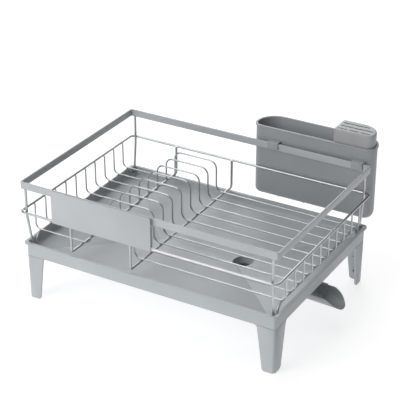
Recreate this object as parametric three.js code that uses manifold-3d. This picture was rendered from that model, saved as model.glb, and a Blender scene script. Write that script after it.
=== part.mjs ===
// Dish drying rack: a drip tray on four legs with a swivelling drain spout, a wire basket that stands in
// the tray, and a cutlery holder with a knife block that hangs on the basket's back rim.
// Millimetres, +Z up. The rack stands on z = 0, its front faces -Y and the spout leaves to +X.

import * as THREE from 'three';
import { ConvexGeometry } from 'three/addons/geometries/ConvexGeometry.js';
import { mergeVertices } from 'three/addons/utils/BufferGeometryUtils.js';
import Module from 'manifold-3d';

const wasm = await Module();
wasm.setup();

// ---- Driving dimensions ----

const GAP = 0.3; // clearance between pieces that touch

const RIM = { halfLength: 210, halfDepth: 150, top: 194.6, height: 11.2, thickness: 2.6, corner: 3.5 };
const THICK_WIRE = 1.9; // radius of the ring, the end frames and the long wires
const THIN_WIRE = 1.2; // radius of the cross wires
const RING = { halfLength: 210.3, halfDepth: 152.2, height: 146.5, corner: 8 }; // centre line
const FLOOR_WIRE_HEIGHT = 104.5; // centre line of the cross wires over the basket's floor

const CROSS_WIRES = { count: 10, firstY: -119.5, lastY: 119.5, uprightX: 208, floorBend: 8 };
const ARCH = { left: -110, right: -35, rise: 50, footBend: 11, topBend: 12 };
const LONG_WIRE_X = [-124.5, -23.5];
const LONG_WIRE_BEND = 5;

const END_FRAME = {
  x: 201.5, leanTop: 140, leanBottom: 97, softBend: 30,
  footX: 200.4, footOuterY: 141.3, footInnerY: 132.4, footLow: 82.2, riseY: 128.6, riseTop: 94,
};

const PANEL = {
  left: -151.8, right: 15, top: 196.6, bottom: 144.4, thickness: 1.2, corner: 2, flangeBottom: 149.5,
};

const TRAY = {
  halfLength: 207.2, halfDepth: 147.1, corner: 4.5,
  lipTop: 94.8, lipHeight: 3.4, lipReach: 3.4, apronBottom: 72.1, wall: 2.5,
  basinTop: { x: 205.4, y: 145.3, r: 3.2 }, basinFloor: { x: 204.2, y: 143.8, r: 3 },
  floorEdge: 80, troughHeight: 68.5, troughHalf: 61, floorThickness: 2.5,
};

const OUTLET = { x: 78, bore: 15.5, collar: 18.2, flange: 19.6, bottom: 57, flangeTop: 58.8 };

const LEG = {
  top: TRAY.apronBottom - GAP, wall: 3, draft: 0.6,
  topX: 178.3, bottomX: 187, topY: 115.4, bottomY: 125.8,
  toeRadius: 5, flare: 3, flareDrop: 5, tongueTop: 76.8, tongueWall: 2.2,
  ribHeights: [13, 39], ribThickness: 1.6, ribDepth: 12,
};

const SPOUT = {
  tilt: THREE.MathUtils.degToRad(2.5), topAtPivot: 64.4,
  armHalf: 16.6, armDepth: 15.6, wall: 1.9, armEnd: 131,
  cupRadius: 22.5, cupTop: 64.5, cupBore: 20.3, throat: 18.7, lipUnderside: 59.1,
};
const EXTENSION = { half: 19.1, depth: 18, start: 67, edgeEnd: 141, tipEnd: 166, grip: 1.5, gripLip: 2.6 };

const HOLDER = {
  left: 10, right: 208, front: 155.5, back: 200, bottom: 99, top: 216.5, wall: 2,
  frontCorner: 13, backCorner: 31, beadHeight: 3, beadReach: 1.5, bottomBevel: 8, bayLeft: 141,
  dividers: [54, 97], dividerDrop: 25, ledgeHeight: 10,
};
const HOOK = { centres: [188, 48], width: 18, wall: 2, drop: 9 };
const BLOCK = {
  top: 236.5, skirtBottom: 184, wall: 2.2, clearance: 0.5, slotWidth: 3, slotPitch: 10.5,
  slotMiddle: 175.8, slotLeft: 146.5, slotRight: 199, backSlotRight: 189, bridge: 2,
};

// ---- Outlines and solids ----

// A rounded rectangle; its back corners may have a wider radius than its front ones.
function roundedRect(minX, minY, maxX, maxY, radius, backRadius = radius) {
  const shape = new THREE.Shape();
  shape.absarc(maxX - backRadius, maxY - backRadius, backRadius, 0, Math.PI / 2);
  shape.absarc(minX + backRadius, maxY - backRadius, backRadius, Math.PI / 2, Math.PI);
  shape.absarc(minX + radius, minY + radius, radius, Math.PI, 1.5 * Math.PI);
  shape.absarc(maxX - radius, minY + radius, radius, 1.5 * Math.PI, 2 * Math.PI);
  shape.closePath();
  return shape;
}

const centredRect = (halfX, halfY, radius) => roundedRect(-halfX, -halfY, halfX, halfY, radius);

function prism(shape, bottom, top, curveSegments = 3) {
  const depth = top - bottom;
  const geometry = new THREE.ExtrudeGeometry(shape, { depth, bevelEnabled: false, curveSegments });
  return geometry.translate(0, 0, bottom);
}

function box(minX, minY, minZ, maxX, maxY, maxZ) {
  const geometry = new THREE.BoxGeometry(maxX - minX, maxY - minY, maxZ - minZ);
  return geometry.translate((minX + maxX) / 2, (minY + maxY) / 2, (minZ + maxZ) / 2);
}

// The points of an outline, lifted to a height.
function outlineAt(shape, z, curveSegments = 3) {
  return shape.getPoints(curveSegments).map((p) => new THREE.Vector3(p.x, p.y, z));
}

// A solid ready for joining and cutting.
function solid(geometry) {
  const bare = geometry.clone();
  bare.deleteAttribute('normal');
  bare.deleteAttribute('uv');
  const merged = mergeVertices(bare, 1e-4);
  const vertProperties = new Float32Array(merged.getAttribute('position').array);
  const triVerts = new Uint32Array(merged.getIndex().array);
  return new wasm.Manifold(new wasm.Mesh({ numProp: 3, vertProperties, triVerts }));
}

function toGeometry(body) {
  const mesh = body.getMesh();
  const geometry = new THREE.BufferGeometry();
  geometry.setAttribute('position', new THREE.BufferAttribute(new Float32Array(mesh.vertProperties), 3));
  geometry.setIndex(new THREE.BufferAttribute(new Uint32Array(mesh.triVerts), 1));
  geometry.computeVertexNormals();
  return geometry;
}

const joined = (...geometries) => geometries.map(solid).reduce((sum, next) => sum.add(next));

// ---- Wires ----

// A path through given points. At each corner it faces halfway between the two runs, so that a wire of
// constant thickness follows it.
class WirePath extends THREE.Curve {
  constructor(points) {
    super();
    this.points = points;
  }

  getPoint(t, target = new THREE.Vector3()) {
    const place = t * (this.points.length - 1);
    const index = Math.min(Math.floor(place), this.points.length - 2);
    return target.lerpVectors(this.points[index], this.points[index + 1], place - index);
  }

  getTangent(t, target = new THREE.Vector3()) {
    const index = Math.round(t * (this.points.length - 1));
    const before = this.direction(Math.max(index - 1, 0));
    const after = this.direction(Math.min(index, this.points.length - 2));
    return target.addVectors(before, after).normalize();
  }

  direction(index) {
    return this.points[index + 1].clone().sub(this.points[index]).normalize();
  }

  getUtoTmapping(u) {
    return u;
  }
}

// Rounds the corners of a polyline. Each corner is { at, bend }, and a corner with no bend stays sharp.
function bentPoints(corners, stepsPerQuarter = 4) {
  const points = [];
  corners.forEach(({ at, bend }, i) => {
    if (!bend) {
      points.push(at.clone());
      return;
    }
    const toPrevious = corners[i - 1].at.clone().sub(at).normalize();
    const toNext = corners[i + 1].at.clone().sub(at).normalize();
    const turn = Math.PI - toPrevious.angleTo(toNext);
    const centre = at.clone().add(toPrevious.clone().add(toNext).setLength(bend / Math.cos(turn / 2)));
    const start = at.clone().addScaledVector(toPrevious, bend * Math.tan(turn / 2)).sub(centre);
    const axis = toNext.clone().cross(toPrevious).normalize().negate();
    const steps = Math.max(2, Math.ceil((turn / (Math.PI / 2)) * stepsPerQuarter));
    for (let step = 0; step <= steps; step++) {
      points.push(start.clone().applyAxisAngle(axis, -turn * (step / steps)).add(centre));
    }
  });
  return points;
}

function wire(points, radius) {
  const section = new THREE.Shape().absarc(0, 0, radius, 0, 2 * Math.PI);
  const extrudePath = new WirePath(points);
  return new THREE.ExtrudeGeometry(section, { extrudePath, steps: points.length - 1, curveSegments: 4 });
}

const corner = (x, y, z, bend = 0) => ({ at: new THREE.Vector3(x, y, z), bend });

// ---- Basket ----

const RIM_INNER_Y = RIM.halfDepth - RIM.thickness;
const FRAME_WIRE_Y = RING.halfDepth - 2 * THICK_WIRE - GAP; // upright thick wires stand just inside the ring
const LONG_RUN_HEIGHT = FLOOR_WIRE_HEIGHT - THIN_WIRE - GAP - THICK_WIRE;

function rimBand() {
  const band = centredRect(RIM.halfLength, RIM.halfDepth, RIM.corner);
  const inner = RIM.corner - RIM.thickness;
  band.holes.push(centredRect(RIM.halfLength - RIM.thickness, RIM_INNER_Y, inner));
  return prism(band, RIM.top - RIM.height, RIM.top, 5);
}

// The ring is bent from two equal halves that are welded in the middle of the front and the back.
function middleRing() {
  const { halfLength, halfDepth, height, corner: bend } = RING;
  const half = (side) => wire(bentPoints([
    corner(-side * GAP, -halfDepth, height),
    corner(side * halfLength, -halfDepth, height, bend),
    corner(side * halfLength, halfDepth, height, bend),
    corner(-side * GAP, halfDepth, height),
  ]), THICK_WIRE);
  return toGeometry(joined(half(1), half(-1)));
}

// Along the floor and up to the ring at both ends, with one arch for the plates to lean on.
function crossWire(y) {
  const { uprightX, floorBend } = CROSS_WIRES;
  const top = RING.height - THICK_WIRE - GAP;
  const archTop = FLOOR_WIRE_HEIGHT + ARCH.rise;
  return wire(bentPoints([
    corner(-uprightX, y, top),
    corner(-uprightX, y, FLOOR_WIRE_HEIGHT, floorBend),
    corner(ARCH.left, y, FLOOR_WIRE_HEIGHT, ARCH.footBend),
    corner(ARCH.left, y, archTop, ARCH.topBend),
    corner(ARCH.right, y, archTop, ARCH.topBend),
    corner(ARCH.right, y, FLOOR_WIRE_HEIGHT, ARCH.footBend),
    corner(uprightX, y, FLOOR_WIRE_HEIGHT, floorBend),
    corner(uprightX, y, top),
  ], 3), THIN_WIRE);
}

// Front to back under the cross wires, and up to the ring at both ends.
function longWire(x) {
  const top = RING.height + THICK_WIRE;
  return wire(bentPoints([
    corner(x, -FRAME_WIRE_Y, top),
    corner(x, -FRAME_WIRE_Y, LONG_RUN_HEIGHT, LONG_WIRE_BEND),
    corner(x, FRAME_WIRE_Y, LONG_RUN_HEIGHT, LONG_WIRE_BEND),
    corner(x, FRAME_WIRE_Y, top),
  ]), THICK_WIRE);
}

// Down from under the rim, round a foot in the tray's corner, along the floor and back up the same way.
function endFrame(side) {
  const { x, leanTop, leanBottom, softBend } = END_FRAME;
  const { footX, footOuterY, footInnerY, footLow, riseY, riseTop } = END_FRAME;
  const footBend = (footOuterY - footInnerY) / 2 - 0.05;
  const half = [
    corner(side * x, -FRAME_WIRE_Y, RIM.top - RIM.height - GAP),
    corner(side * x, -FRAME_WIRE_Y, leanTop, softBend),
    corner(side * footX, -footOuterY, leanBottom, softBend),
    corner(side * footX, -footOuterY, footLow, footBend),
    corner(side * footX, -footInnerY, footLow, footBend),
    corner(side * footX, -riseY, riseTop, 6),
    corner(side * footX, -riseY + 6, LONG_RUN_HEIGHT, 5),
  ];
  const mirrored = half.map(({ at, bend }) => corner(at.x, -at.y, at.z, bend)).reverse();
  return wire(bentPoints([...half, ...mirrored]), THICK_WIRE);
}

// A plate in front of the rim and the ring. Between those two its ends are folded back.
function frontPanel() {
  const { left, right, top, bottom, thickness, corner: radius, flangeBottom } = PANEL;
  const back = RING.halfDepth + THICK_WIRE + GAP;
  const outline = roundedRect(left, bottom, right, top, radius);
  const plate = prism(outline, back, back + thickness).rotateX(Math.PI / 2);
  const flange = (x) => box(
    x, -back - thickness / 2, flangeBottom, x + thickness, -RIM.halfDepth, RIM.top - RIM.height - GAP,
  );
  return toGeometry(joined(plate, flange(left), flange(right - thickness)));
}

// ---- Tray ----

// The tray's outlet: a collar with a flange at its lower end, which the spout snaps over.
function outletCollar() {
  const { bore, collar, flange, bottom, flangeTop } = OUTLET;
  const root = TRAY.troughHeight;
  const profile = [
    [bore, bottom], [flange, bottom], [flange, flangeTop], [collar, flangeTop], [collar, root], [bore, root],
  ];
  const ring = profile.map(([r, z]) => new THREE.Vector2(r, z));
  return new THREE.LatheGeometry([...ring, ring[0]], 32).rotateX(Math.PI / 2).translate(OUTLET.x, 0, 0);
}

function tray() {
  const outline = centredRect(TRAY.halfLength, TRAY.halfDepth, TRAY.corner);
  const trough = (z) => [-1, 1].map((side) => new THREE.Vector3(side * TRAY.troughHalf, 0, z));
  const underside = TRAY.floorEdge - TRAY.floorThickness;
  const shell = new ConvexGeometry([
    ...outlineAt(outline, TRAY.lipTop - 1),
    ...outlineAt(outline, underside),
    ...trough(TRAY.troughHeight - TRAY.floorThickness),
  ]);
  const { basinTop, basinFloor } = TRAY;
  const basin = new ConvexGeometry([
    ...outlineAt(centredRect(basinTop.x, basinTop.y, basinTop.r), TRAY.lipTop + 1),
    ...outlineAt(centredRect(basinFloor.x, basinFloor.y, basinFloor.r), TRAY.floorEdge),
    ...trough(TRAY.troughHeight),
  ]);
  const skirt = centredRect(TRAY.halfLength, TRAY.halfDepth, TRAY.corner);
  const inset = TRAY.wall;
  skirt.holes.push(centredRect(TRAY.halfLength - inset, TRAY.halfDepth - inset, TRAY.corner - inset));
  const reach = TRAY.lipReach;
  const bevel = 1;
  const lip = new THREE.ExtrudeGeometry(
    centredRect(TRAY.halfLength + reach - bevel, TRAY.halfDepth + reach - bevel, TRAY.corner),
    {
      depth: TRAY.lipHeight - 2 * bevel, bevelThickness: bevel, bevelSize: bevel,
      bevelSegments: 2, curveSegments: 3,
    },
  ).translate(0, 0, TRAY.lipTop - TRAY.lipHeight + bevel);
  const bore = new THREE.CylinderGeometry(OUTLET.bore, OUTLET.bore, 30, 32).rotateX(Math.PI / 2);
  bore.translate(OUTLET.x, 0, OUTLET.bottom + 10);
  const body = joined(shell, prism(skirt, TRAY.apronBottom, underside + 0.5), lip, outletCollar());
  return toGeometry(body.subtract(solid(basin)).subtract(solid(bore)));
}

// ---- Legs ----

// One wing's outline, seen square on: u runs outwards to the corner and v up.
function wingOutline(topU, bottomU, cornerU) {
  const { top, toeRadius, flare, flareDrop, draft } = LEG;
  const shape = new THREE.Shape();
  shape.moveTo(topU - flare, top);
  shape.quadraticCurveTo(topU, top, topU + 0.6, top - flareDrop);
  shape.lineTo(bottomU, toeRadius);
  shape.quadraticCurveTo(bottomU, 0, bottomU + toeRadius, 0);
  shape.lineTo(cornerU - draft - toeRadius, 0);
  shape.quadraticCurveTo(cornerU - draft, 0, cornerU - draft + 0.1, toeRadius);
  shape.lineTo(cornerU, top);
  shape.closePath();
  return shape;
}

// The leg at the corner where x and -y are both positive.
function cornerLeg() {
  const { halfLength, halfDepth } = TRAY;
  const near = 60; // a block of this size round the corner holds the whole leg
  const blockAt = (inset, z, r) => outlineAt(
    roundedRect(halfLength - near, -halfDepth + inset, halfLength - inset, -halfDepth + near, r), z,
  );
  const outer = new ConvexGeometry([
    ...blockAt(0, LEG.top, TRAY.corner),
    ...blockAt(LEG.draft, 0, TRAY.corner),
  ]);
  const innerR = TRAY.corner - LEG.wall;
  const inner = new ConvexGeometry([
    ...blockAt(LEG.wall, LEG.top + 1, innerR),
    ...blockAt(LEG.wall + LEG.draft, -1, innerR),
  ]);
  const walls = solid(outer).subtract(solid(inner));

  const frontWing = new THREE.ExtrudeGeometry(wingOutline(LEG.topX, LEG.bottomX, halfLength), {
    depth: 12, bevelEnabled: false, curveSegments: 4,
  }).rotateX(Math.PI / 2).translate(0, -halfDepth + 10, 0);
  const sideWing = new THREE.ExtrudeGeometry(wingOutline(LEG.topY, LEG.bottomY, halfDepth), {
    depth: 12, bevelEnabled: false, curveSegments: 4,
  }).rotateX(Math.PI / 2).rotateZ(-Math.PI / 2).translate(halfLength + 2, 0, 0);
  const skinDepth = LEG.wall + LEG.draft;
  const frontStrip = box(150, -halfDepth - 1, -1, halfLength + 1, -halfDepth + skinDepth, LEG.top + 1);
  const sideStrip = box(
    halfLength - skinDepth, -halfDepth - 1, -1, halfLength + 1, -halfDepth + near - 5, LEG.top + 1,
  );
  const front = walls.intersect(solid(frontWing)).intersect(solid(frontStrip));
  const side = walls.intersect(solid(sideWing)).intersect(solid(sideStrip));

  const ribX = halfLength - LEG.wall - LEG.draft + 0.8;
  const ribY = -halfDepth + LEG.wall + LEG.draft - 0.8;
  const ribs = LEG.ribHeights.map((z) => {
    const { ribDepth: d, ribThickness: t } = LEG;
    const corners = [[0, 0], [-d, 0], [-d, 3], [-3, d], [0, d]];
    const gusset = new THREE.Shape(corners.map(([x, y]) => new THREE.Vector2(x, y)));
    return solid(prism(gusset, z, z + t).translate(ribX, ribY, 0));
  });

  const skin = TRAY.wall + GAP;
  const tongueTo = skin + LEG.tongueWall;
  const low = LEG.top - 6;
  const frontTongue = box(
    LEG.topX + 4, -halfDepth + skin, low, halfLength - 10, -halfDepth + tongueTo, LEG.tongueTop,
  );
  const sideTongue = box(
    halfLength - tongueTo, -halfDepth + 10, low, halfLength - skin, -LEG.topY - 4, LEG.tongueTop,
  );
  const added = [side, ...ribs, solid(frontTongue), solid(sideTongue)];
  const leg = added.reduce((sum, next) => sum.add(next), front);
  return toGeometry(leg);
}

function mirrored(geometry, signX, signY) {
  const copy = geometry.clone().scale(signX, signY, 1);
  if (signX * signY < 0) {
    const index = copy.getIndex().array;
    for (let i = 0; i < index.length; i += 3) {
      [index[i], index[i + 1]] = [index[i + 1], index[i]];
    }
  }
  return copy;
}

// ---- Drain spout ----

const SPOUT_STEPS = 14; // facets round a channel's half section

// A channel's section, open at the top: y across, z up from the bottom edge of the lips at 0.
function channelSection(half, depth, wall, grip = 0, gripLip = 0) {
  const section = new THREE.Shape();
  section.moveTo(-half, grip);
  section.absellipse(0, 0, half, depth, Math.PI, 2 * Math.PI, false);
  section.lineTo(half, grip);
  if (grip) {
    section.lineTo(half - wall - gripLip, grip);
    section.lineTo(half - wall - gripLip, GAP);
    section.lineTo(half - wall, GAP);
  }
  section.lineTo(half - wall, 0);
  section.absellipse(0, 0, half - wall, depth - wall, 0, Math.PI, true);
  if (grip) {
    section.lineTo(-half + wall, GAP);
    section.lineTo(-half + wall + gripLip, GAP);
    section.lineTo(-half + wall + gripLip, grip);
  }
  section.closePath();
  return section;
}

// Runs a section outwards from the spout's pivot, along the spout's slope.
function alongSpout(section, start, end) {
  const settings = { depth: end - start, bevelEnabled: false, curveSegments: SPOUT_STEPS };
  const geometry = new THREE.ExtrudeGeometry(section, settings);
  geometry.translate(0, 0, start).rotateX(Math.PI / 2).rotateZ(Math.PI / 2);
  return geometry.rotateY(SPOUT.tilt).translate(OUTLET.x, 0, SPOUT.topAtPivot);
}

function ringSolid(profile) {
  const ring = profile.map(([r, z]) => new THREE.Vector2(r, z));
  return solid(new THREE.LatheGeometry(ring, 32).rotateX(Math.PI / 2).translate(OUTLET.x, 0, 0));
}

// A cup round the outlet, whose lip catches under nothing but the flange, and the inner channel.
function spoutArm() {
  const { armHalf, armDepth, wall, armEnd, topAtPivot } = SPOUT;
  const { cupRadius, cupTop, cupBore, throat, lipUnderside } = SPOUT;
  const floor = topAtPivot - armDepth + wall;
  const cupWall = ringSolid([
    [0, floor - wall], [cupRadius, floor - wall], [cupRadius, cupTop], [0, cupTop],
  ]);
  const cupHollow = ringSolid([
    [0, floor], [cupBore, floor], [cupBore, lipUnderside],
    [throat, lipUnderside], [throat, cupTop + 1], [0, cupTop + 1],
  ]);
  const channel = solid(alongSpout(channelSection(armHalf, armDepth, wall), cupBore - 2, armEnd));
  const inside = new THREE.Shape();
  inside.absellipse(0, 0, armHalf - wall, armDepth - wall, Math.PI, 2 * Math.PI, false);
  inside.closePath();
  const way = solid(alongSpout(inside, 0, armEnd + 1));
  return toGeometry(cupWall.add(channel).subtract(way).subtract(cupHollow));
}

// The outer channel slides along the arm. Its curled edges hold it on, and its end is cut off as a scoop.
function spoutExtension() {
  const { half, depth, start, edgeEnd, tipEnd, grip, gripLip } = EXTENSION;
  const { wall, armEnd } = SPOUT;
  const gripped = solid(alongSpout(channelSection(half, depth, wall, grip, gripLip), start, armEnd - 1));
  const plain = solid(alongSpout(channelSection(half, depth, wall), start, tipEnd));
  const scoop = new THREE.Shape();
  scoop.moveTo(edgeEnd, 5);
  scoop.lineTo(edgeEnd, 0);
  scoop.quadraticCurveTo(edgeEnd + 8, -2, tipEnd - 4, -depth + 3);
  scoop.quadraticCurveTo(tipEnd - 0.5, -depth + 1, tipEnd, -depth - 1);
  scoop.lineTo(tipEnd + 5, -depth - 1);
  scoop.lineTo(tipEnd + 5, 5);
  scoop.closePath();
  const cutter = new THREE.ExtrudeGeometry(scoop, { depth: 60, bevelEnabled: false, curveSegments: 6 });
  cutter.translate(0, 0, -30).rotateX(Math.PI / 2).rotateY(SPOUT.tilt);
  cutter.translate(OUTLET.x, 0, SPOUT.topAtPivot);
  return toGeometry(gripped.add(plain).subtract(solid(cutter)));
}

// ---- Cutlery holder and knife block ----

const HOLDER_STEPS = 8; // facets round a corner

// The holder is flat at the front, where it hangs against the basket, and bowed round at the back.
function holderOutline(inset) {
  const { left, right, front, back, frontCorner, backCorner } = HOLDER;
  return roundedRect(
    left + inset, front + inset, right - inset, back - inset, frontCorner - inset, backCorner - inset,
  );
}

function holderShell() {
  const { bottom, top, wall: thickness, bottomBevel, beadHeight, beadReach } = HOLDER;
  const level = (inset, z) => outlineAt(holderOutline(inset), z, HOLDER_STEPS);
  const outer = new ConvexGeometry([
    ...level(0, top),
    ...level(0, bottom + bottomBevel),
    ...level(bottomBevel * 0.3, bottom + bottomBevel * 0.3),
    ...level(bottomBevel, bottom),
  ]);
  const inner = new ConvexGeometry([
    ...level(thickness, top + 1),
    ...level(thickness, bottom + bottomBevel),
    ...level(thickness + bottomBevel * 0.3, bottom + thickness + bottomBevel * 0.3),
    ...level(thickness + bottomBevel, bottom + thickness),
  ]);
  const bead = prism(holderOutline(-beadReach), top - beadHeight, top, HOLDER_STEPS);
  return { outer: solid(outer).add(solid(bead)), inner: solid(inner) };
}

// A hook over the back rim: a bridge from the holder's wall and a tab that drops inside the rim.
function rimHook(x) {
  const bridgeBottom = RIM.top + GAP;
  const tabBack = RIM_INNER_Y - GAP;
  const tabFront = tabBack - HOOK.wall;
  const left = x - HOOK.width / 2;
  const right = x + HOOK.width / 2;
  const bridge = box(left, tabFront, bridgeBottom, right, HOLDER.front + 1.5, bridgeBottom + HOOK.wall);
  const tab = box(left, tabFront, RIM.top - HOOK.drop, right, tabBack, bridgeBottom + HOOK.wall);
  return joined(bridge, tab);
}

function cutleryHolder() {
  const { left, right, front, back, bottom, top, wall: thickness, bayLeft, dividers, dividerDrop } = HOLDER;
  const ledgeTop = BLOCK.skirtBottom - GAP;
  const { outer, inner } = holderShell();
  let holder = outer.subtract(inner);
  const wallsAt = [...dividers, bayLeft - thickness];
  for (const x of wallsAt) {
    const sheet = solid(box(x, front, bottom, x + thickness, back, top - dividerDrop));
    holder = holder.add(outer.intersect(sheet));
  }
  const ledgeRight = right - HOLDER.backCorner - 2;
  for (const y of [front + thickness / 2, back - 5 - thickness / 2]) {
    const ledge = box(bayLeft + 8, y, ledgeTop - HOLDER.ledgeHeight, ledgeRight, y + 5, ledgeTop);
    holder = holder.add(solid(ledge));
  }
  for (const x of HOOK.centres) {
    holder = holder.add(rimHook(x));
  }
  const middleY = (front + back) / 2;
  const cells = [left, ...wallsAt, right];
  for (let i = 0; i + 1 < cells.length; i++) {
    const middle = (cells[i] + cells[i + 1]) / 2;
    for (const y of [middleY - 8, middleY + 8]) {
      const slot = box(middle - 10, y - 2, bottom - 1, middle + 10, y + 2, bottom + thickness + 1);
      holder = holder.subtract(solid(slot));
    }
  }
  return toGeometry(holder);
}

// The block's outline follows the holder's inner wall at the right and the bay's wall at the left.
function blockOutline(inset) {
  const margin = HOLDER.wall + BLOCK.clearance + inset;
  const { bayLeft, right, front, back, frontCorner, backCorner } = HOLDER;
  const left = bayLeft + BLOCK.clearance + inset;
  const outline = new THREE.Shape();
  const round = frontCorner - margin;
  const backRound = backCorner - margin;
  const small = 5 - Math.min(inset, 3);
  outline.absarc(right - margin - backRound, back - margin - backRound, backRound, 0, Math.PI / 2);
  outline.absarc(left + small, back - margin - small, small, Math.PI / 2, Math.PI);
  outline.absarc(left + small, front + margin + small, small, Math.PI, 1.5 * Math.PI);
  outline.absarc(right - margin - round, front + margin + round, round, 1.5 * Math.PI, 2 * Math.PI);
  outline.closePath();
  return outline;
}

function knifeBlock() {
  const { top, skirtBottom, wall: thickness } = BLOCK;
  const { slotWidth, slotPitch, slotMiddle, slotLeft, slotRight, backSlotRight, bridge } = BLOCK;
  const edge = 1.5;
  const outer = new ConvexGeometry([
    ...outlineAt(blockOutline(0), skirtBottom, HOLDER_STEPS),
    ...outlineAt(blockOutline(0), top - edge, HOLDER_STEPS),
    ...outlineAt(blockOutline(edge), top, HOLDER_STEPS),
  ]);
  const hollow = prism(blockOutline(thickness), skirtBottom - 1, top - thickness, HOLDER_STEPS);
  let block = solid(outer).subtract(solid(hollow));
  const third = (slotRight - slotLeft - 2 * bridge) / 3;
  const slots = [
    [slotLeft, backSlotRight, slotMiddle + slotPitch],
    [slotLeft, slotRight, slotMiddle],
    ...[0, 1, 2].map((n) => {
      const start = slotLeft + n * (third + bridge);
      return [start, start + third, slotMiddle - slotPitch];
    }),
  ];
  for (const [start, end, y] of slots) {
    block = block.subtract(solid(box(start, y - slotWidth / 2, top - 8, end, y + slotWidth / 2, top + 1)));
  }
  return toGeometry(block);
}

// ---- Assembly ----

const rack = new THREE.Group();

function add(name, geometry, color, roughness, metalness) {
  const material = new THREE.MeshStandardMaterial({ color, roughness, metalness });
  const mesh = new THREE.Mesh(geometry, material);
  mesh.name = name;
  rack.add(mesh);
}

const PAINT = [0xbfc4c5, 0.45, 0.0];
const WIRE = [0xc9cccd, 0.3, 0.9];
const TRAY_PLASTIC = [0xb9bfc1, 0.5, 0.0];
const HOLDER_PLASTIC = [0x8f9496, 0.55, 0.0];

add('rim_band', rimBand(), ...PAINT);
add('front_panel', frontPanel(), ...PAINT);
add('middle_ring', middleRing(), ...WIRE);
for (let i = 0; i < CROSS_WIRES.count; i++) {
  const y = THREE.MathUtils.lerp(CROSS_WIRES.firstY, CROSS_WIRES.lastY, i / (CROSS_WIRES.count - 1));
  add(`cross_wire_${String(i + 1).padStart(2, '0')}`, crossWire(y), ...WIRE);
}
LONG_WIRE_X.forEach((x, i) => add(['long_wire_left', 'long_wire_right'][i], longWire(x), ...WIRE));
add('end_frame_left', endFrame(-1), ...WIRE);
add('end_frame_right', endFrame(1), ...WIRE);

add('tray', tray(), ...TRAY_PLASTIC);
const leg = cornerLeg();
add('leg_front_right', leg, ...TRAY_PLASTIC);
add('leg_front_left', mirrored(leg, -1, 1), ...TRAY_PLASTIC);
add('leg_back_right', mirrored(leg, 1, -1), ...TRAY_PLASTIC);
add('leg_back_left', mirrored(leg, -1, -1), ...TRAY_PLASTIC);
add('spout_arm', spoutArm(), ...HOLDER_PLASTIC);
add('spout_extension', spoutExtension(), ...HOLDER_PLASTIC);

add('cutlery_holder', cutleryHolder(), ...HOLDER_PLASTIC);
add('knife_block', knifeBlock(), ...HOLDER_PLASTIC);

// The origin is on the ground, under the middle of the whole rack's footprint.
const footprint = new THREE.Box3().setFromObject(rack).getCenter(new THREE.Vector3());
rack.position.set(-footprint.x, -footprint.y, 0);

export default rack;
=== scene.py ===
"""A dish drying rack: a wire basket in a drip tray on four legs, a drain spout that swings and slides,
and a cutlery holder with a knife block that hangs on the basket's back rim."""

import math

import bmesh
import bpy
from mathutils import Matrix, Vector


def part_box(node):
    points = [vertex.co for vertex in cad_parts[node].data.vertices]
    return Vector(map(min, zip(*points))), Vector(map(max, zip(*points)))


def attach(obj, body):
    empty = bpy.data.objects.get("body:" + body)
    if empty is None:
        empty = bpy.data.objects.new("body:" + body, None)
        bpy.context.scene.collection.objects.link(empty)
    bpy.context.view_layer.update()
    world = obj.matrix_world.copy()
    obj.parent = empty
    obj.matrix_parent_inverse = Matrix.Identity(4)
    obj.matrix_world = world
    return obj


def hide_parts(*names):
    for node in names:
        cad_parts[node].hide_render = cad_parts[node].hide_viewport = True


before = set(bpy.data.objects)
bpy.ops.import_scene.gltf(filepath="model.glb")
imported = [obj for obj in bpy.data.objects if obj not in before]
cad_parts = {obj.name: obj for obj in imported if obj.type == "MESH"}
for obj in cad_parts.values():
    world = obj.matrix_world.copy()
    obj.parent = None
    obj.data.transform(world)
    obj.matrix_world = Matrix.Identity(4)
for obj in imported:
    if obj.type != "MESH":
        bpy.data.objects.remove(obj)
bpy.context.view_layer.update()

# ---- Camera ----
# The rack is seen from its front right corner, thirty degrees round and twenty-eight degrees down.
# Every size below is in millimetres, and every place is counted from the ground under the basket's middle.

rim_low, rim_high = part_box("rim_band")
basket_middle = (rim_low + rim_high) / 2


def at(x, y, z):
    return Vector((basket_middle.x + x / 1000, basket_middle.y + y / 1000, z / 1000))


camera = bpy.data.objects.new("camera", bpy.data.cameras.new("camera"))
bpy.context.scene.collection.objects.link(camera)
camera.location = at(910.2, -1570, 1100.8)
camera.rotation_euler = (math.radians(90 - 27.62), 0, math.radians(29.98))
camera.data.lens = 125.08
camera.data.sensor_width = 36
bpy.context.scene.camera = camera

# ---- Studio ----
# A matt white floor in a dim room: a soft lamp at the front left, a wide one overhead, and one behind for the
# edges. The room darkens towards the horizon, which draws dark edges on the plated wires.


def linear(hex_colour):
    """An sRGB colour as linear red, green, blue and alpha."""
    channels = [int(hex_colour[i:i + 2], 16) / 255 for i in (1, 3, 5)]
    return [c / 12.92 if c <= 0.04045 else ((c + 0.055) / 1.055) ** 2.4 for c in channels] + [1.0]


def add_node(tree, kind, settings=None, links=None):
    """Adds a node. Settings are its properties, or its sockets by name or number; links feed its sockets."""
    node = tree.nodes.new(kind)
    for key, value in (settings or {}).items():
        if isinstance(key, str) and hasattr(node, key):
            setattr(node, key, value)
        else:
            node.inputs[key].default_value = value
    for key, output in (links or {}).items():
        tree.links.new(output, node.inputs[key])
    return node


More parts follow.
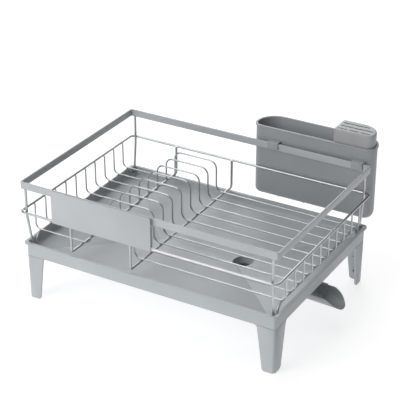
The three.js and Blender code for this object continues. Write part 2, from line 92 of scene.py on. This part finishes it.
bpy.context.scene.view_settings.view_transform = "Standard"
world = bpy.data.worlds.new("dim_room")
world.use_nodes = True
room = world.node_tree
room.nodes.clear()
sky_way = add_node(room, "ShaderNodeTexCoord")
sky_height = add_node(room, "ShaderNodeSeparateXYZ", links={"Vector": sky_way.outputs["Generated"]})
sky_share = add_node(room, "ShaderNodeMapRange", {"From Min": 0.1, "From Max": 0.8},
                     {"Value": sky_height.outputs["Z"]})
sky = add_node(room, "ShaderNodeMix", {"data_type": "RGBA", 6: linear("#3A3B3D"), 7: linear("#FFFFFF")},
               {"Factor": sky_share.outputs["Result"]})
glow = add_node(room, "ShaderNodeBackground", {"Strength": 0.14}, {"Color": sky.outputs[2]})
add_node(room, "ShaderNodeOutputWorld", links={"Surface": glow.outputs["Background"]})
bpy.context.scene.world = world

for name, place, aim, size, watts in (
    ("key_lamp", (-700, -1500, 1050), (0, 0, 80), 1.3, 19),
    ("top_lamp", (-200, -100, 2400), (0, 0, 0), 2.2, 20),
    ("back_lamp", (-900, 1700, 1150), (0, 0, 100), 1.6, 24),
):
    lamp = bpy.data.objects.new(name, bpy.data.lights.new(name, "AREA"))
    lamp.data.size = size
    lamp.data.energy = watts
    lamp.location = at(*place)
    lamp.rotation_euler = (at(*aim) - at(*place)).to_track_quat("-Z", "Y").to_euler()
    bpy.context.scene.collection.objects.link(lamp)

# White studio paper lit from below: dead matt, with no grain at this distance and only a faint shadow on it.
studio_paper = bpy.data.materials.new("matt_white_studio_paper")
studio_paper.use_nodes = True
paper_face = studio_paper.node_tree.nodes["Principled BSDF"].inputs
paper_face["Base Color"].default_value = linear("#B8B8BA")
paper_face["Roughness"].default_value = 0.95
paper_face["Emission Color"].default_value = linear("#FFFFFF")
paper_face["Emission Strength"].default_value = 0.7
floor_sheet = bmesh.new()
bmesh.ops.create_grid(floor_sheet, x_segments=1, y_segments=1, size=15)
floor_mesh = bpy.data.meshes.new("studio_floor")
floor_sheet.to_mesh(floor_mesh)
floor_mesh.materials.append(studio_paper)
floor = bpy.data.objects.new("studio_floor", floor_mesh)
bpy.context.scene.collection.objects.link(floor)

# ---- Rim ----
# A strip of mild steel bent into a rounded rectangle round the top of the basket, its ends butt welded.
# Powder coated light grey: satin, with the slight orange peel that the coating flows out to.


def surface(name, dark, light, mottle_mm, grain_mm, grain_depth_mm, roughness, metallic=0.0, ior=1.5):
    """A finish that drifts between two tones, with a fine grain that also varies how rough it is."""
    material = bpy.data.materials.new(name)
    material.use_nodes = True
    tree = material.node_tree
    tree.nodes.clear()
    place = add_node(tree, "ShaderNodeTexCoord").outputs["Object"]
    mottle = add_node(tree, "ShaderNodeTexNoise", {"Scale": 1000 / mottle_mm, "Detail": 3.0},
                      {"Vector": place})
    grain = add_node(tree, "ShaderNodeTexNoise", {"Scale": 1000 / grain_mm, "Detail": 2.0},
                     {"Vector": place})
    spread = add_node(tree, "ShaderNodeMapRange", {"From Min": 0.3, "From Max": 0.7},
                      {"Value": mottle.outputs[0]})
    colour = add_node(tree, "ShaderNodeMix", {"data_type": "RGBA", 6: linear(dark), 7: linear(light)},
                      {"Factor": spread.outputs["Result"]})
    sheen = add_node(tree, "ShaderNodeMapRange", {"To Min": roughness[0], "To Max": roughness[1]},
                     {"Value": grain.outputs[0]})
    relief = add_node(tree, "ShaderNodeBump", {"Strength": 0.6, "Distance": grain_depth_mm / 1000},
                      {"Height": grain.outputs[0]})
    shader = add_node(tree, "ShaderNodeBsdfPrincipled", {"Metallic": metallic, "IOR": ior},
                      {"Base Color": colour.outputs[2], "Roughness": sheen.outputs["Result"],
                       "Normal": relief.outputs["Normal"]})
    add_node(tree, "ShaderNodeOutputMaterial", links={"Surface": shader.outputs["BSDF"]})
    return material


def shaded(piece, material=None, angle=32):
    """Smooth shading that still breaks at real edges."""
    if material:
        piece.data.materials.clear()
        piece.data.materials.append(material)
    piece.data.shade_smooth()
    piece.data.set_sharp_from_angle(angle=math.radians(angle))
    return piece


def fitted(piece, body, slot_name, *nodes):
    """Hangs a finished piece on its body, in the place of the CAD nodes that it stands for."""
    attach(piece, body)
    if nodes:
        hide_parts(*nodes)
    return piece


def grown(name, tree, sizes, base=None):
    """Runs a geometry tree with these sizes, and keeps its result as a plain mesh."""
    piece = bpy.data.objects.new(name, base or bpy.data.meshes.new(name))
    bpy.context.scene.collection.objects.link(piece)
    maker = piece.modifiers.new(name, "NODES")
    maker.node_group = tree
    for item in tree.interface.items_tree:
        if item.item_type == "SOCKET" and item.in_out == "INPUT" and item.name in sizes:
            maker[item.identifier] = sizes[item.name]
    made = bpy.data.meshes.new_from_object(piece.evaluated_get(bpy.context.evaluated_depsgraph_get()))
    piece.modifiers.clear()
    piece.data = made
    return piece


def new_tree(name, inputs):
    """An empty geometry tree with named inputs, each (name, socket kind)."""
    tree = bpy.data.node_groups.new(name, "GeometryNodeTree")
    for input_name, kind in inputs:
        tree.interface.new_socket(name=input_name, in_out="INPUT", socket_type=kind)
    tree.interface.new_socket(name="Geometry", in_out="OUTPUT", socket_type="NodeSocketGeometry")
    return tree


rim_steel = surface("light_grey_powder_coat_on_steel", "#B3B7B9", "#B9BDBF", 60, 1.6, 0.03, (0.36, 0.5))

bent_strip = new_tree("bent_strip", [
    ("Length", "NodeSocketFloat"), ("Depth", "NodeSocketFloat"), ("Corner", "NodeSocketFloat"),
    ("Strip height", "NodeSocketFloat"), ("Strip thickness", "NodeSocketFloat"), ("Edge", "NodeSocketFloat"),
    ("Place", "NodeSocketVector"), ("Finish", "NodeSocketMaterial"),
])
strip_in = add_node(bent_strip, "NodeGroupInput").outputs
strip_loop = add_node(bent_strip, "GeometryNodeCurvePrimitiveQuadrilateral",
                      links={"Width": strip_in["Length"], "Height": strip_in["Depth"]})
strip_path = add_node(bent_strip, "GeometryNodeFilletCurve", {"mode": "POLY", "Count": 8},
                      {"Curve": strip_loop.outputs["Curve"], "Radius": strip_in["Corner"]})
strip_level = add_node(bent_strip, "GeometryNodeSetCurveNormal", {"mode": "Z_UP"},
                       {"Curve": strip_path.outputs["Curve"]})
strip_block = add_node(bent_strip, "GeometryNodeCurvePrimitiveQuadrilateral",
                       links={"Width": strip_in["Strip thickness"], "Height": strip_in["Strip height"]})
strip_section = add_node(bent_strip, "GeometryNodeFilletCurve", {"mode": "POLY", "Count": 4},
                         {"Curve": strip_block.outputs["Curve"], "Radius": strip_in["Edge"]})
strip_skin = add_node(bent_strip, "GeometryNodeCurveToMesh", links={
    "Curve": strip_level.outputs["Curve"], "Profile Curve": strip_section.outputs["Curve"],
})
strip_moved = add_node(bent_strip, "GeometryNodeTransform",
                       links={"Geometry": strip_skin.outputs["Mesh"], "Translation": strip_in["Place"]})
strip_real = add_node(bent_strip, "GeometryNodeRealizeInstances",
                      links={"Geometry": strip_moved.outputs["Geometry"]})
strip_done = add_node(bent_strip, "GeometryNodeSetMaterial",
                      links={"Geometry": strip_real.outputs["Geometry"], "Material": strip_in["Finish"]})
add_node(bent_strip, "NodeGroupOutput", links={"Geometry": strip_done.outputs["Geometry"]})

STRIP_THICKNESS = 2.6
STRIP_HEIGHT = 11.2
rim = grown("rim", bent_strip, {
    "Length": (420 - STRIP_THICKNESS) / 1000, "Depth": (300 - STRIP_THICKNESS) / 1000, "Corner": 0.0022,
    "Strip height": STRIP_HEIGHT / 1000, "Strip thickness": STRIP_THICKNESS / 1000, "Edge": 0.0007,
    "Place": at(0, 0, 194.6 - STRIP_HEIGHT / 2), "Finish": rim_steel,
})
shaded(rim, angle=50)
fitted(rim, "basket", "painted_rim", "rim_band")

# ---- Front panel ----
# A plain plate of the same coated steel in front of the rim and the ring, its ends folded back between them.
# Its edges are rolled off by the coating.


def softened_copy(node, width, segments=3, angle=35):
    """A CAD part's own shape: doubled points merged, flat faces made whole, edges rounded by width."""
    piece = bpy.data.objects.new(node + "_finished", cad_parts[node].data.copy())
    bpy.context.scene.collection.objects.link(piece)
    shell = bmesh.new()
    shell.from_mesh(piece.data)
    bmesh.ops.remove_doubles(shell, verts=shell.verts, dist=1e-6)
    bmesh.ops.dissolve_limit(shell, angle_limit=math.radians(0.4), verts=shell.verts, edges=shell.edges)
    shell.to_mesh(piece.data)
    shell.free()
    rounding = piece.modifiers.new("rounding", "BEVEL")
    rounding.width = width / 1000
    rounding.segments = segments
    rounding.limit_method = "ANGLE"
    rounding.angle_limit = math.radians(angle)
    rounding.harden_normals = True
    made = bpy.data.meshes.new_from_object(piece.evaluated_get(bpy.context.evaluated_depsgraph_get()))
    piece.modifiers.clear()
    piece.data = made
    return piece


panel = softened_copy("front_panel", 0.35)
fitted(shaded(panel, rim_steel), "basket", "painted_rim", "front_panel")

# ---- Wires ----
# Drawn steel rod, bent cold and resistance welded where it crosses, then satin nickel plated as one basket.
# The ring, the long wires and the end frames are 3.8 mm rod, and the cross wires with their arches 2.4 mm.
plated_wire = surface("satin_plated_drawn_wire", "#B5B7B8", "#C3C5C6", 25, 0.8, 0.01, (0.3, 0.42),
                      metallic=1.0)

bent_wire = new_tree("bent_wire", [
    ("Geometry", "NodeSocketGeometry"), ("Radius", "NodeSocketFloat"), ("Sides", "NodeSocketInt"),
    ("Count", "NodeSocketInt"), ("Pitch", "NodeSocketVector"), ("Finish", "NodeSocketMaterial"),
])
wire_in = add_node(bent_wire, "NodeGroupInput").outputs
wire_bend = add_node(bent_wire, "GeometryNodeInputNamedAttribute", {"data_type": "FLOAT", "Name": "bend"})
wire_line = add_node(bent_wire, "GeometryNodeMeshToCurve", links={"Mesh": wire_in["Geometry"]})
wire_path = add_node(bent_wire, "GeometryNodeFilletCurve", {"mode": "POLY", "Count": 7},
                     {"Curve": wire_line.outputs["Curve"], "Radius": wire_bend.outputs["Attribute"]})
wire_round = add_node(bent_wire, "GeometryNodeCurvePrimitiveCircle",
                      links={"Resolution": wire_in["Sides"], "Radius": wire_in["Radius"]})
wire_skin = add_node(bent_wire, "GeometryNodeCurveToMesh", {"Fill Caps": True},
                     {"Curve": wire_path.outputs["Curve"], "Profile Curve": wire_round.outputs["Curve"]})
wire_row = add_node(bent_wire, "GeometryNodeMeshLine",
                    links={"Count": wire_in["Count"], "Offset": wire_in["Pitch"]})
wire_copies = add_node(bent_wire, "GeometryNodeInstanceOnPoints",
                       links={"Points": wire_row.outputs["Mesh"], "Instance": wire_skin.outputs["Mesh"]})
wire_real = add_node(bent_wire, "GeometryNodeRealizeInstances",
                     links={"Geometry": wire_copies.outputs["Instances"]})
wire_done = add_node(bent_wire, "GeometryNodeSetMaterial",
                     links={"Geometry": wire_real.outputs["Geometry"], "Material": wire_in["Finish"]})
add_node(bent_wire, "NodeGroupOutput", links={"Geometry": wire_done.outputs["Geometry"]})


def bent_line(name, corners, closed=False):
    """The corners that a wire is bent round, each (x, y, z, bend)."""
    line = bpy.data.meshes.new(name)
    count = len(corners)
    edges = [(i, i + 1) for i in range(count - 1)] + ([(count - 1, 0)] if closed else [])
    line.from_pydata([at(x, y, z) for x, y, z, _ in corners], edges, [])
    bends = line.attributes.new("bend", "FLOAT", "POINT")
    bends.data.foreach_set("value", [bend / 1000 for _, _, _, bend in corners])
    return line


def wire_piece(name, line, radius, nodes, count=1, pitch=0.0):
    """One bent wire, or a row of equal ones front to back."""
    piece = grown(name, bent_wire, {
        "Radius": radius / 1000, "Sides": 16, "Count": count, "Pitch": (0, pitch / 1000, 0),
        "Finish": plated_wire,
    }, line)
    return fitted(shaded(piece, angle=60), "basket", "plated_wire", *nodes)


THICK_WIRE = 1.9
THIN_WIRE = 1.2
RING_X = 210.3
RING_Y = 152.2
RING_Z = 146.5
UPRIGHT_Y = 148.1  # the thick wires stand just inside the ring
FLOOR_Z = 104.5  # centre line of the cross wires
RUN_Z = 101.1  # centre line of the thick wires under them
LONG_WIRE_X = (-124.5, -23.5)
END_TOP_X = 201.5  # the end frames lean in a little on their way down
END_FOOT_X = 200.4
END_TOP_Z = 183.1
FOOT_Z = 82.2  # centre line of the feet that stand in the tray

ring_line = bent_line("ring_line", [
    (RING_X, -RING_Y, RING_Z, 8), (RING_X, RING_Y, RING_Z, 8),
    (-RING_X, RING_Y, RING_Z, 8), (-RING_X, -RING_Y, RING_Z, 8),
], closed=True)
wire_piece("ring", ring_line, THICK_WIRE, ["middle_ring"])

for side_name, x in zip(("left", "right"), LONG_WIRE_X):
    long_line = bent_line("long_line_" + side_name, [
        (x, -UPRIGHT_Y, RING_Z + THICK_WIRE, 0), (x, -UPRIGHT_Y, RUN_Z, 5),
        (x, UPRIGHT_Y, RUN_Z, 5), (x, UPRIGHT_Y, RING_Z + THICK_WIRE, 0),
    ])
    wire_piece("long_wire_finished_" + side_name, long_line, THICK_WIRE, ["long_wire_" + side_name])

for side_name, side in (("left", -1), ("right", 1)):
    down = [
        (side * END_TOP_X, -UPRIGHT_Y, END_TOP_Z, 0), (side * END_TOP_X, -UPRIGHT_Y, 140, 30),
        (side * END_FOOT_X, -141.3, 97, 30), (side * END_FOOT_X, -141.3, FOOT_Z, 4.4),
        (side * END_FOOT_X, -132.4, FOOT_Z, 4.4), (side * END_FOOT_X, -128.6, 94, 6),
        (side * END_FOOT_X, -122.6, RUN_Z, 5),
    ]
    up = [(x, -y, z, bend) for x, y, z, bend in reversed(down)]
    wire_piece("end_frame_finished_" + side_name, bent_line("end_line_" + side_name, down + up), THICK_WIRE,
               ["end_frame_" + side_name])

CROSS_COUNT = 10
CROSS_FIRST_Y = -119.5
CROSS_PITCH = 239 / 9
CROSS_X = 208
CROSS_TOP = 144.3
ARCH_LEFT = -110
ARCH_RIGHT = -35
ARCH_TOP = 154.5
cross_line = bent_line("cross_line", [
    (-CROSS_X, CROSS_FIRST_Y, CROSS_TOP, 0), (-CROSS_X, CROSS_FIRST_Y, FLOOR_Z, 8),
    (ARCH_LEFT, CROSS_FIRST_Y, FLOOR_Z, 11), (ARCH_LEFT, CROSS_FIRST_Y, ARCH_TOP, 12),
    (ARCH_RIGHT, CROSS_FIRST_Y, ARCH_TOP, 12), (ARCH_RIGHT, CROSS_FIRST_Y, FLOOR_Z, 11),
    (CROSS_X, CROSS_FIRST_Y, FLOOR_Z, 8), (CROSS_X, CROSS_FIRST_Y, CROSS_TOP, 0),
])
wire_piece("cross_wires", cross_line, THIN_WIRE, [f"cross_wire_{n + 1:02d}" for n in range(CROSS_COUNT)],
           CROSS_COUNT, CROSS_PITCH)

# ---- Welds ----
# The small flattened nuggets that resistance welding leaves between two crossing wires, plated with them.
# Each fills the last third of a millimetre between the wires, and is a little duller than the drawn rod.
weld_metal = surface("satin_plated_weld", "#A2A4A5", "#B5B7B8", 2, 0.5, 0.05, (0.38, 0.5), metallic=1.0)

nuggets = new_tree("weld_nuggets", [
    ("Geometry", "NodeSocketGeometry"), ("Size", "NodeSocketFloat"), ("Seed", "NodeSocketInt"),
    ("Finish", "NodeSocketMaterial"),
])
nugget_in = add_node(nuggets, "NodeGroupInput").outputs
nugget_ball = add_node(nuggets, "GeometryNodeMeshIcoSphere", {"Subdivisions": 3},
                       {"Radius": nugget_in["Size"]})
nugget_turn = add_node(nuggets, "FunctionNodeRandomValue",
                       {"data_type": "FLOAT_VECTOR", 0: (0, 0, 0), 1: (0.3, 0.3, 6.28)},
                       {"Seed": nugget_in["Seed"]})
nugget_spread = add_node(nuggets, "FunctionNodeRandomValue",
                         {"data_type": "FLOAT_VECTOR", 0: (0.85, 0.7, 0.8), 1: (1.15, 1.0, 1.0)},
                         {"Seed": nugget_in["Seed"]})
nugget_copies = add_node(nuggets, "GeometryNodeInstanceOnPoints", links={
    "Points": nugget_in["Geometry"], "Instance": nugget_ball.outputs["Mesh"],
    "Rotation": nugget_turn.outputs[0], "Scale": nugget_spread.outputs[0],
})
nugget_real = add_node(nuggets, "GeometryNodeRealizeInstances",
                       links={"Geometry": nugget_copies.outputs["Instances"]})
nugget_done = add_node(nuggets, "GeometryNodeSetMaterial",
                       links={"Geometry": nugget_real.outputs["Geometry"], "Material": nugget_in["Finish"]})
add_node(nuggets, "NodeGroupOutput", links={"Geometry": nugget_done.outputs["Geometry"]})

between_floor_wires = (FLOOR_Z - THIN_WIRE + RUN_Z + THICK_WIRE) / 2
beside_ring = (RING_Y + UPRIGHT_Y) / 2
weld_places = []
for n in range(CROSS_COUNT):
    y = CROSS_FIRST_Y + n * CROSS_PITCH
    weld_places += [at(x, y, between_floor_wires) for x in (-END_FOOT_X, *LONG_WIRE_X, END_FOOT_X)]
    weld_places += [at(side * 208.7, y, 144.7) for side in (-1, 1)]
for y in (-beside_ring, beside_ring):
    weld_places += [at(x, y, RING_Z) for x in (-END_TOP_X, *LONG_WIRE_X, END_TOP_X)]
    weld_places += [at(side * END_TOP_X, math.copysign(UPRIGHT_Y, y), END_TOP_Z + 0.1) for side in (-1, 1)]
weld_mesh = bpy.data.meshes.new("weld_places")
weld_mesh.from_pydata(weld_places, [], [])
welds = grown("wire_welds", nuggets, {"Size": 0.0012, "Seed": 4, "Finish": weld_metal}, weld_mesh)
fitted(shaded(welds, angle=80), "basket", "plated_wire")

# ---- Drip tray ----
# Injection moulded polypropylene: a turned-out lip, a deep apron, and a floor of four planes that fall to a
# trough. Light grey with a satin spark-eroded texture, and slow clouds of tone where the melt met.
tray_plastic = surface("light_grey_moulded_polypropylene", "#B4B9BB", "#BABFC1", 90, 0.7, 0.03, (0.42, 0.56))


def rounded(min_x, min_y, max_x, max_y, radius, z, steps=7, back_radius=None):
    """A rounded rectangle of points at one height, anticlockwise. Its back corners may be wider."""
    back = back_radius or radius
    points = []
    for middle_x, middle_y, bend, start in (
        (max_x - back, max_y - back, back, 0), (min_x + back, max_y - back, back, 90),
        (min_x + radius, min_y + radius, radius, 180), (max_x - radius, min_y + radius, radius, 270),
    ):
        for step in range(steps + 1):
            turn = math.radians(start + 90 * step / steps)
            points.append(at(middle_x + bend * math.cos(turn), middle_y + bend * math.sin(turn), z))
    return points


def skinned(name, rings, full_circle=False):
    """A closed piece through rings of equal count, capped at both ends or joined end to end."""
    shell = bmesh.new()
    rows = [[shell.verts.new(point) for point in ring] for ring in rings]
    pairs = list(zip(rows, rows[1:]))
    if full_circle:
        pairs.append((rows[-1], rows[0]))
    else:
        shell.faces.new(list(reversed(rows[0])))
        shell.faces.new(rows[-1])
    for lower, upper in pairs:
        for i, vertex in enumerate(lower):
            j = (i + 1) % len(lower)
            shell.faces.new((vertex, lower[j], upper[j], upper[i]))
    bmesh.ops.remove_doubles(shell, verts=shell.verts, dist=1e-6)
    bmesh.ops.recalc_face_normals(shell, faces=shell.faces)
    mesh = bpy.data.meshes.new(name)
    shell.to_mesh(mesh)
    shell.free()
    piece = bpy.data.objects.new(name, mesh)
    bpy.context.scene.collection.objects.link(piece)
    return piece


def changed(piece, other, operation):
    """The piece with another joined to it or cut from it."""
    step = piece.modifiers.new("change", "BOOLEAN")
    step.operation = operation
    step.solver = "EXACT"
    step.object = other
    made = bpy.data.meshes.new_from_object(piece.evaluated_get(bpy.context.evaluated_depsgraph_get()))
    piece.modifiers.clear()
    piece.data = made
    bpy.data.objects.remove(other)
    return piece


def merged_into(piece, others):
    """Puts further shells of the same moulding into the piece's mesh."""
    whole = bmesh.new()
    whole.from_mesh(piece.data)
    for other in others:
        whole.from_mesh(other.data)
        bpy.data.objects.remove(other)
    whole.to_mesh(piece.data)
    whole.free()
    return piece


TRAY_X = 207.2
TRAY_Y = 147.1


def tray_ring(grow, radius, z):
    return rounded(-TRAY_X - grow, -TRAY_Y - grow, TRAY_X + grow, TRAY_Y + grow, radius, z)


def creased(ring, depth, steps=7):
    """The ring with its bends sunk in the middle, so that a shallow channel runs in from each corner."""
    for i, point in enumerate(ring):
        point.z -= depth / 1000 * math.sin(math.pi * (i % (steps + 1)) / steps)
    return ring


# Each level is how far it stands out from the apron, its corner radius and its height.
OUTER_LEVELS = (
    (-3.2, 1.6, 77.4), (-2.5, 2, 76.8), (-2.4, 2, 72.6), (-2, 2.3, 72.1), (-0.5, 4, 72.1), (0, 4.5, 72.6),
    (0, 4.5, 73.2), (0, 4.5, 90.2), (0, 4.5, 90.8),
)
LIP_LEVELS = (
    (0.5, 4.8, 91.4), (2.9, 6, 91.4), (3.4, 6.4, 92), (3.4, 6.4, 94), (3.1, 6.2, 94.6), (2.5, 5.8, 94.8),
    (-1, 4, 94.8), (-1.6, 3.6, 94.5),
)
INNER_LEVELS = (
    (-1.8, 3.4, 93.8), (-2.9, 3, 83.6), (-3.3, 2.9, 81.9), (-4.3, 2.6, 80.5), (-6, 2.3, 79.9),
)
tray = skinned("tray_finished", [
    rounded(-62, -1, 62, 1, 0.9, 66),
    *(tray_ring(*level) for level in OUTER_LEVELS + LIP_LEVELS + INNER_LEVELS),
    creased(rounded(-198.5, -138.4, 198.5, 138.4, 5, 79.68), 1.5),
    creased(rounded(-66, -5, 66, 5, 3.4, 68.83), 0.6),
    rounded(-62, -1, 62, 1, 0.9, 68.5),
])


def round_ring(middle_x, middle_y, radius, z, steps=48):
    """A circle of points; z is a height, or a function of x that gives it."""
    turns = [2 * math.pi * step / steps for step in range(steps)]
    places = [(middle_x + radius * math.cos(turn), middle_y + radius * math.sin(turn)) for turn in turns]
    return [at(x, y, z(x) if callable(z) else z) for x, y in places]


DRAIN_X = 78
DRAIN_RADIUS = 15.5
drain_tool = skinned("drain_tool", [round_ring(DRAIN_X, 0, DRAIN_RADIUS, z) for z in (50, 90)])
changed(tray, drain_tool, "DIFFERENCE")


def under_floor(x):
    """The height at which the outlet's wall meets the middle of the sloping floor."""
    return 67.4 + 11.5 / 142.5 * max(0, x - 61)


outlet = skinned("outlet", [round_ring(DRAIN_X, 0, radius, z) for radius, z in (
    (DRAIN_RADIUS, under_floor), (DRAIN_RADIUS, 57.4), (15.9, 57), (19.2, 57), (19.6, 57.4), (19.6, 58.4),
    (19.2, 58.8), (18.6, 58.8), (18.2, 59.2), (18.2, under_floor),
)], full_circle=True)
merged_into(tray, [outlet])
fitted(shaded(tray, tray_plastic), "tray", "tray_plastic", "tray")

# ---- Legs ----
# Four separate mouldings of the tray's own plastic, L-shaped in plan, each pushed up inside the apron on two
# tongues. They taper to small feet with rounded toes, and two gussets stiffen each inner corner.
for corner_name in ("front_right", "front_left", "back_right", "back_left"):
    leg = softened_copy("leg_" + corner_name, 0.5)
    fitted(shaded(leg, tray_plastic), "tray", "tray_plastic", "leg_" + corner_name)

# ---- Drain spout ----
# Two moulded channels under the tray's outlet: an arm whose cup turns on the outlet's flange, and an outer
# channel that slides along it and ends in a scoop. Grey polypropylene, a shade darker and glossier.
spout_plastic = surface("mid_grey_moulded_polypropylene", "#A0A5A7", "#A7ACAE", 70, 0.6, 0.02, (0.34, 0.48))
spout_arm = softened_copy("spout_arm", 0.3, 2)
fitted(shaded(spout_arm, spout_plastic), "spout_arm", "spout_plastic", "spout_arm")
spout_extension = softened_copy("spout_extension", 0.3, 2)
fitted(shaded(spout_extension, spout_plastic), "spout_extension", "spout_plastic", "spout_extension")

# ---- Cutlery holder ----
# One deep moulding in grey polypropylene, flat in front and bowed behind, with a bead round its mouth and two
# hooks over the rim. It has three bays for cutlery, one for the knife block, and slots that let water out.
holder_plastic = surface("grey_moulded_polypropylene", "#9DA1A3", "#A4A8AA", 80, 0.7, 0.03, (0.42, 0.55))

HOLDER = (10, 155.5, 208, 200)  # left, front, right, back
HOLDER_TOP = 216.5
HOLDER_BOTTOM = 99
FRONT_CORNER = 13
BACK_CORNER = 31
HOLDER_WALL = 2
FOOT_BEND = 8
BAY_LEFT = 141


def holder_ring(inset, z):
    left, front, right, back = HOLDER
    return rounded(left + inset, front + inset, right - inset, back - inset, FRONT_CORNER - inset, z, 16,
                   BACK_CORNER - inset)


def foot_rings(wall):
    """The rounded foot of the holder's outer or inner wall, from its floor upwards."""
    floor = HOLDER_BOTTOM + wall
    rings = []
    for step in range(7):
        turn = math.radians(15 * step)
        inset = wall + FOOT_BEND * (1 - math.sin(turn))
        rings.append(holder_ring(inset, floor + FOOT_BEND * (1 - math.cos(turn))))
    return rings


# Each level is how far it stands in from the wall's outer face, and its height.
MOUTH_LEVELS = (
    (0, 108), (0, 212.6), (0, 213.2), (-0.3, 213.5), (-1, 213.5), (-1.5, 214), (-1.5, 215.8), (-1.3, 216.3),
    (-0.8, HOLDER_TOP), (1.3, HOLDER_TOP), (1.8, 216.3), (2, 215.8),
)
holder = skinned("cutlery_holder_finished", [
    *foot_rings(0), *(holder_ring(inset, z) for inset, z in MOUTH_LEVELS), *reversed(foot_rings(HOLDER_WALL)),
])


def slab(min_x, min_y, min_z, max_x, max_y, max_z, radius=0.5):
    """A small moulded block, its upright edges rounded and its ends eased."""
    ease = min(0.4, radius)
    levels = ((ease, min_z), (0, min_z + ease), (0, max_z - ease), (ease, max_z))
    return skinned("slab", [
        rounded(min_x + e, min_y + e, max_x - e, max_y - e, max(radius - e, 0.05), z, 3) for e, z in levels
    ])


left, front, right, back = HOLDER
middle_y = (front + back) / 2
wall_places = (54, 97, BAY_LEFT - HOLDER_WALL)
bay_edges = (left, *wall_places, right)
drain_slots = []
for bay_start, bay_end in zip(bay_edges, bay_edges[1:]):
    middle_x = (bay_start + bay_end) / 2
    for y in (middle_y - 8, middle_y + 8):
        drain_slots.append(slab(middle_x - 10, y - 2, 94, middle_x + 10, y + 2, 106, 1.9))
slot_tool = merged_into(drain_slots[0], drain_slots[1:])
changed(holder, slot_tool, "DIFFERENCE")

inner_parts = [slab(x, front + 1, 100.5, x + HOLDER_WALL, back - 1, HOLDER_TOP - 25) for x in wall_places]
LEDGE_TOP = 183.7
for y in (front + 1, back - 6):
    inner_parts.append(slab(BAY_LEFT + 8, y, LEDGE_TOP - 10, right - BACK_CORNER - 2, y + 5, LEDGE_TOP, 1))


def hook(middle_x):
    """A strap from the holder's wall over the rim, with a tab that drops inside it."""
    profile = [(157, 194.9), (147.1, 194.9), (147.1, 186.2), (146.5, 185.6), (145.7, 185.6), (145.1, 186.2),
               (145.1, 195.4), (145.55, 196.45), (146.6, 196.9), (157, 196.9)]
    levels = ((-9, 0.4), (-8.6, 0), (8.6, 0), (9, 0.4))
    centre_y = sum(y for y, _ in profile) / len(profile)
    rings = []
    for across, shrink in levels:
        x = middle_x + across
        rings.append([at(x, y + math.copysign(shrink, centre_y - y) * 0.5, z) for y, z in profile])
    return skinned("hook", rings)


merged_into(holder, inner_parts + [hook(188), hook(48)])
fitted(shaded(holder, holder_plastic), "cutlery_holder", "holder_plastic", "cutlery_holder")

# ---- Knife block ----
# A hollow cap of lighter grey polypropylene that drops into the holder's right-hand bay and stands above it.
# Five knife slots run through its top in three rows, the front row in three short lengths.
block_plastic = surface("soft_grey_moulded_polypropylene", "#A2A4A6", "#A9ABAD", 60, 0.7, 0.03, (0.4, 0.52))

BLOCK_TOP = 236.5
SKIRT_BOTTOM = 184
BLOCK_WALL = 2.2
CLEARANCE = 0.5


def block_ring(inset, z, steps=14):
    """The block's outline: rounded to the right as the holder is, with tight corners beside the bay wall."""
    margin = HOLDER_WALL + CLEARANCE + inset
    start = BAY_LEFT + CLEARANCE + inset
    near = FRONT_CORNER - margin
    far = BACK_CORNER - margin
    tight = max(5 - inset, 1)
    points = []
    for cx, cy, radius, turn in (
        (right - margin - far, back - margin - far, far, 0),
        (start + tight, back - margin - tight, tight, 90),
        (start + tight, front + margin + tight, tight, 180),
        (right - margin - near, front + margin + near, near, 270),
    ):
        for step in range(steps + 1):
            angle = math.radians(turn + 90 * step / steps)
            points.append(at(cx + radius * math.cos(angle), cy + radius * math.sin(angle), z))
    return points


TOP_BEND = 2.6
top_rings = [
    block_ring(TOP_BEND * (1 - math.cos(math.radians(15 * step))),
               BLOCK_TOP - TOP_BEND + TOP_BEND * math.sin(math.radians(15 * step)))
    for step in range(7)
]
block = skinned("knife_block_finished", [
    block_ring(BLOCK_WALL, BLOCK_TOP - BLOCK_WALL), block_ring(BLOCK_WALL, SKIRT_BOTTOM + 0.5),
    block_ring(BLOCK_WALL - 0.5, SKIRT_BOTTOM), block_ring(0.5, SKIRT_BOTTOM),
    block_ring(0, SKIRT_BOTTOM + 0.5), *top_rings,
])
SLOT_LEFT = 146.5
SLOT_RIGHT = 199
BACK_SLOT_RIGHT = 189
SLOT_MIDDLE = 175.8
SLOT_PITCH = 10.5
SHORT_SLOT = (SLOT_RIGHT - SLOT_LEFT - 4) / 3
slot_spans = [(SLOT_LEFT, BACK_SLOT_RIGHT, SLOT_PITCH), (SLOT_LEFT, SLOT_RIGHT, 0)]
for n in range(3):
    start = SLOT_LEFT + n * (SHORT_SLOT + 2)
    slot_spans.append((start, start + SHORT_SLOT, -SLOT_PITCH))
slot_tools = []
for start, end, across in slot_spans:
    y = SLOT_MIDDLE + across
    slot_tools.append(slab(start, y - 1.5, 228.5, end, y + 1.5, 240, 1.3))
changed(block, merged_into(slot_tools[0], slot_tools[1:]), "DIFFERENCE")
fitted(shaded(block, block_plastic), "knife_block", "block_plastic", "knife_block")
